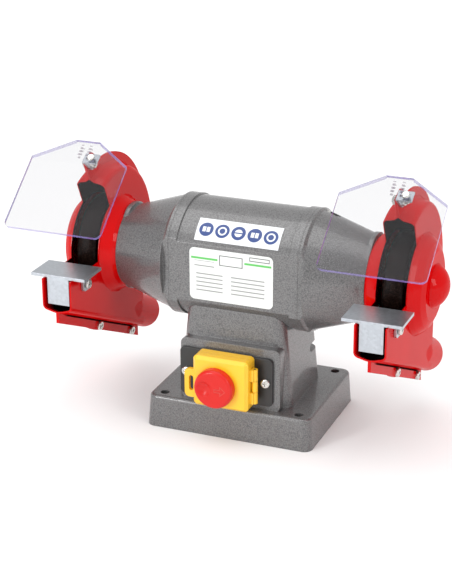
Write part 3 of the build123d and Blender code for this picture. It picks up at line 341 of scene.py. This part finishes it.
def red_enamel():
    material, start, place = new_finish("red_enamel")
    x, y, z = place.xyz()
    across = abs(abs(x) - guard_seam_x)
    up = z - spindle_z

    def within(reach):
        """1 within a press's sheet, at places this far out from the spindle."""
        side = (across - guard_round_a).most(0.0)
        top = (reach + across * guard_draft - guard_round_r).most(0.0)
        corner = ((side * side + top * top) ** 0.5).below(guard_round, crown_soft)
        body = across.below(guard_half, wall_soft) * corner
        lap = (reach + across * fold_slope).below(fold_r, crown_soft)
        return body.most(across.below(fold_half, wall_soft) * lap)

    hood = within((y * y + up * up) ** 0.5)
    box_middle, box_half = (shaded_box_front_y + box_rear_y) / 2, (box_rear_y - shaded_box_front_y) / 2
    in_box = abs(y - box_middle).below(box_half, box_soft)
    drop = -1 * (up * math.cos(floor_slope) + y * math.sin(floor_slope))
    box = within(drop) * in_box * up.below(0.0, floor_soft)
    inside = hood.most(box)
    peel = start.node("ShaderNodeTexNoise", Vector=place, Scale=peel_scale, Detail=1.0)
    shade = start.node("ShaderNodeTexNoise", Vector=place, Scale=shade_scale, Detail=2.0)
    # Inside the hood and the box the red is replaced by a painted shade, near black.
    colour = inside.blend(shade.blend(red_low, red_high), red_painted_shade)
    shape = start.node("ShaderNodeBevel", {"samples": 4}, Radius=guard_edge)
    bump = start.node("ShaderNodeBump", Strength=0.06, Distance=peel_deep, Height=peel,
                      Normal=shape)
    return close_finish(material, start, Base_Color=colour, Roughness=0.35 + 0.35 * inside,
                        Coat_Weight=0.34 - 0.33 * inside, Coat_Roughness=0.05,
                        Specular_IOR_Level=0.0, Normal=bump)


dress(red_enamel(), "guard_inner_left", "guard_inner_right", "guard_outer_left",
      "guard_outer_right")


# Eye shields: clear bent sheet. The faces let almost everything through, and the sawn and
# polished rim gathers the light, so it shows violet. Two short rows of plain dashes are
# printed on the upper panel.
pane_face_y, pane_face_z = -0.629, 0.777
dash_inner_x, dash_outer_x = -0.0033, 0.0055
dash_half = 0.0014
dash_pitch = 0.0034
dash_rows_y = -0.0440
dash_rows_half = 0.0060
dash_soft, dash_rows_soft = 0.0003, 0.0004
rim_violet = (0.26, 0.20, 0.60, 1)
dash_violet = (0.10, 0.05, 0.10, 1)


def clear_sheet():
    material, start, place = new_finish("clear_sheet")
    x, y, _ = place.xyz()
    facing = start.node("ShaderNodeNewGeometry", output=1)
    _, face_y, face_z = facing.xyz()
    rim = abs(face_z * pane_face_z + face_y * pane_face_y).below(0.6, 0.1)
    gloss = start.node("ShaderNodeLayerWeight", output=0, Blend=0.25)
    along = x - guard_seam_x * x.math("SIGN", x)
    columns = abs(along - dash_inner_x).below(dash_half, dash_soft).most(
        abs(along - dash_outer_x).below(dash_half, dash_soft))
    dashes = (y * (2 * math.pi / dash_pitch)).sine().below(0.35, 0.25)
    bars = columns * dashes * abs(y - dash_rows_y).below(dash_rows_half, dash_rows_soft)
    tint = rim.blend((0.60, 0.60, 0.62, 1), rim_violet)
    colour = bars.blend(tint, dash_violet)
    solid = start.node("ShaderNodeBsdfPrincipled", Base_Color=colour, Roughness=0.08,
                       Coat_Weight=0.4)
    through = start.node("ShaderNodeBsdfTransparent", Color=(0.90, 0.90, 0.905, 1))
    fill = (0.02 + 0.20 * gloss + 0.5 * rim + 0.5 * bars).least(1.0)
    shader = start.node("ShaderNodeMixShader", i0=fill, i1=through, i2=solid)
    start.node("ShaderNodeOutputMaterial", Surface=shader)
    return material


dress(clear_sheet(), "shield_pane_left", "shield_pane_right")


# Switch, gland, capacitor and terminal block: moulded plastics, coloured right through.
# The black ones come off a grained tool and are dull. The yellow frame and flap and the
# buttons come off a polished one.
speck_scale = 1500.0
speck_deep = 0.00006
cloud_scale = 40.0
moulded_edge = 0.0008


def moulded(name, colour, rough, coat=0.0, grain=0.0):
    material, start, place = new_finish(name)
    speck = start.node("ShaderNodeTexNoise", Vector=place, Scale=speck_scale, Detail=2.0)
    cloud = start.node("ShaderNodeTexNoise", Vector=place, Scale=cloud_scale, Detail=2.0)
    dark = tuple(c * 0.88 for c in colour) + (1,)
    shape = start.node("ShaderNodeBevel", {"samples": 4}, Radius=moulded_edge)
    bump = start.node("ShaderNodeBump", Strength=grain, Distance=speck_deep, Height=speck,
                      Normal=shape)
    return close_finish(material, start, Base_Color=cloud.blend(dark, colour + (1,)),
                        Roughness=rough + 0.08 * cloud, Coat_Weight=coat, Normal=bump)


dress(moulded("black_plastic", (0.022, 0.021, 0.021), rough=0.38, coat=0.1, grain=0.4),
      "switch_plate", "switch_body", "cable_gland", "capacitor")
dress(moulded("pale_plastic", (0.75, 0.75, 0.70), rough=0.4), "terminal_block")
dress(moulded("yellow_plastic", (1.0, 0.58, 0.02), rough=0.3, coat=0.3, grain=0.1),
      "switch_frame", "switch_flap")
dress(moulded("red_plastic", (0.66, 0.018, 0.014), rough=0.28, coat=0.3, grain=0.1),
      "stop_button")
dress(moulded("green_plastic", (0.03, 0.36, 0.08), rough=0.3, coat=0.3, grain=0.1),
      "start_button")


# Knob of the flap: moulded in red, with a raised outline arrow that shows the way to push.
# It slides in a slot of the flap. The arrow's sizes run from the base of its head.
knob_low, knob_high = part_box("switch_knob")
arrow_base_x = (knob_low.x + knob_high.x) / 2 + 0.008
arrow_shaft_x, arrow_shaft_half = -0.0025, 0.0035
arrow_shaft_rise = 0.0014
arrow_head_rise = 0.0045
arrow_head_slope = 0.9
arrow_out, arrow_in = 0.0005, -0.0004
arrow_soft = 0.0001
arrow_deep = 0.0006
front_deep, front_soft = 0.003, 0.0003


def knob_plastic():
    material, start, place = new_finish("knob_plastic")
    x, y, z = place.xyz()
    along = x - arrow_base_x
    rise = abs(z - (knob_low.z + knob_high.z) / 2)

    def arrow(grow):
        """1 inside the arrow's outline, grown outwards by this much."""
        shaft = (abs(along - arrow_shaft_x).below(arrow_shaft_half + grow, arrow_soft)
                 * rise.below(arrow_shaft_rise + grow, arrow_soft))
        flank = (rise + along * arrow_head_slope).below(arrow_head_rise + 1.4 * grow, arrow_soft)
        return shaft.most((along * -1.0).below(grow, arrow_soft) * flank)

    front = (y - knob_low.y).below(front_deep, front_soft)
    ridge = arrow(arrow_out) * (1 - arrow(arrow_in)) * front
    cloud = start.node("ShaderNodeTexNoise", Vector=place, Scale=cloud_scale, Detail=2.0)
    red = cloud.blend((0.58, 0.014, 0.010, 1), (0.68, 0.018, 0.013, 1))
    # The raised outline is painted a lighter red, a painted highlight where light catches its
    # ridge.
    colour = (ridge * 0.3).blend(red, (0.85, 0.16, 0.13, 1))
    shape = start.node("ShaderNodeBevel", {"samples": 4}, Radius=moulded_edge)
    bump = start.node("ShaderNodeBump", Strength=1.0, Distance=arrow_deep, Height=ridge,
                      Normal=shape)
    return close_finish(material, start, Base_Color=colour, Roughness=0.3, Coat_Weight=0.15,
                        Specular_IOR_Level=0.25, Normal=bump)


dress(knob_plastic(), "switch_knob")


# Nameplates: printed film stuck to the motor. The front one has a green rule and rows of
# plain bars, and the strip above it has five blue discs with plain white marks. Places on
# the front one are parts of its width and height, left, right, low and high.
front_low, front_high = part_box("front_label")
green_rule, rule_gap = (0.02, 0.98, 0.79, 0.83), (0.34, 0.66, 0.6, 0.95)
badge_outer, badge_inner = (0.36, 0.64, 0.71, 0.91), (0.37, 0.63, 0.725, 0.895)
corner_outer, corner_inner = (0.72, 0.96, 0.87, 0.95), (0.728, 0.952, 0.885, 0.935)
heading_bars = ((0.06, 0.30, 0.655, 0.675), (0.06, 0.30, 0.755, 0.765))
bar_columns = ((0.08, 0.40), (0.50, 0.90))
bar_lows = (0.50, 0.42, 0.34, 0.26, 0.18)
bar_height = 0.022
front_paper = (0.78, 0.80, 0.78, 1)
print_green = (0.10, 0.52, 0.10, 1)
print_grey = (0.09, 0.10, 0.10, 1)
print_black = (0.05, 0.06, 0.06, 1)


def printed_front():
    material, start, place = new_finish("printed_front")
    x, _, z = place.xyz()
    across = (x - front_low.x) / (front_high.x - front_low.x)
    rise = (z - front_low.z) / (front_high.z - front_low.z)

    def patch(left, right, low, high, soft=0.004):
        wide = abs(across - (left + right) / 2).below((right - left) / 2, soft)
        tall = abs(rise - (low + high) / 2).below((high - low) / 2, soft)
        return wide * tall

    green = patch(*green_rule) * (1 - patch(*rule_gap))
    badge = patch(*badge_outer) * (1 - patch(*badge_inner))
    corner = patch(*corner_outer) * (1 - patch(*corner_inner))
    rows = patch(*heading_bars[0]).most(patch(*heading_bars[1]))
    for low in bar_lows:
        for left, right in bar_columns:
            rows = rows.most(patch(left, right, low, low + bar_height))
    colour = green.blend(front_paper, print_green)
    colour = (rows * 0.75).blend(colour, print_grey)
    colour = badge.most(corner).blend(colour, print_black)
    return close_finish(material, start, Base_Color=colour, Roughness=0.3, Coat_Weight=0.3)


# Sizes on the strip are parts of its width.
strip_low, strip_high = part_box("top_label")
motor_r = 0.06
disc_first, disc_step, disc_r = 0.115, 0.1925, 0.085
ring_outer, ring_inner = 0.052, 0.034
block_wide, block_tall, block_gap = 0.044, 0.030, 0.006
dot_r, dot_gap = 0.046, 0.008
print_soft = 0.003
strip_paper = (0.80, 0.82, 0.84, 1)
print_blue = (0.006, 0.040, 0.20, 1)
print_white = (0.82, 0.84, 0.86, 1)


def printed_strip():
    material, start, place = new_finish("printed_strip")
    x, y, z = place.xyz()
    across = (x - strip_low.x) / (strip_high.x - strip_low.x)
    angle = start.math("ARCTAN2", z - spindle_z, -1 * y)
    low_angle = math.atan2(strip_low.z - spindle_z, -strip_low.y)
    high_angle = math.atan2(strip_high.z - spindle_z, -strip_high.y)
    rise = (angle - low_angle) / (high_angle - low_angle)
    height = (high_angle - low_angle) * motor_r / (strip_high.x - strip_low.x)
    dy = (rise - 0.5) * height
    blue, mark = 0.0, 0.0
    for i in range(5):
        dx = across - (disc_first + disc_step * i)
        far = (dx * dx + dy * dy) ** 0.5
        if i in (1, 4):
            sign = far.below(ring_outer, print_soft) * (1 - far.below(ring_inner, print_soft))
        elif i in (0, 3):
            sign = abs(dx).below(block_wide, print_soft) * abs(dy).below(block_tall, print_soft)
            sign = sign * (1 - abs(dx).below(block_gap, print_soft))
        else:
            sign = far.below(dot_r, print_soft) * (1 - abs(dy).below(dot_gap, print_soft))
        blue = far.below(disc_r, print_soft).most(blue)
        mark = sign.most(mark)
    colour = mark.blend(blue.blend(strip_paper, print_blue), print_white)
    return close_finish(material, start, Base_Color=colour, Roughness=0.3, Coat_Weight=0.3)


dress(printed_front(), "front_label")
dress(printed_strip(), "top_label")


# Room: a plain white floor, an even pale surround, a soft box on each side and a broad sun
# overhead.
floor_half = 9.0
floor_gap = 0.0002
room_strength = 0.80
floor_mesh = bpy.data.meshes.new("floor")
work = bmesh.new()
bmesh.ops.create_grid(work, x_segments=1, y_segments=1, size=floor_half)
bmesh.ops.translate(work, verts=work.verts, vec=(0, 0, cad_box[0][2] - floor_gap))
work.to_mesh(floor_mesh)
work.free()
floor = bpy.data.objects.new("floor", floor_mesh)
scene.collection.objects.link(floor)
floor_paint, floor_start, _ = new_finish("floor_paint")
close_finish(floor_paint, floor_start, Base_Color=(0.93, 0.93, 0.93, 1), Roughness=0.9,
             Specular_IOR_Level=0.1)
floor_mesh.materials.append(floor_paint)

world = bpy.data.worlds.new("room")
world.use_nodes = True
surround = world.node_tree.nodes["Background"]
surround.inputs["Color"].default_value = (1, 1, 1, 1)
surround.inputs["Strength"].default_value = room_strength
scene.world = world


def hang(data, place, target):
    """Puts a light at place, turned to target."""
    lamp = bpy.data.objects.new(data.name, data)
    scene.collection.objects.link(lamp)
    way = Vector(target) - Vector(place)
    turn = way.to_track_quat("-Z", "Y").to_matrix().to_4x4()
    lamp.matrix_world = Matrix.Translation(place) @ turn


def soft_box(name, place, target, width, height, power):
    data = bpy.data.lights.new(name, "AREA")
    data.shape = "RECTANGLE"
    data.size = width
    data.size_y = height
    data.energy = power
    hang(data, place, target)


soft_box("box_left", place=(-1.0, -1.9, 0.7), target=(0, 0, 0.15),
         width=0.35, height=1.1, power=16.0)
soft_box("box_right", place=(1.9, -0.9, 1.1), target=(0, 0, 0.12),
         width=0.6, height=1.1, power=9.0)
overhead = bpy.data.lights.new("overhead", "SUN")
overhead.energy = 1.25
overhead.angle = math.radians(60.0)
hang(overhead, place=(-0.3, -0.2, 2.2), target=(0, 0, 0.1))
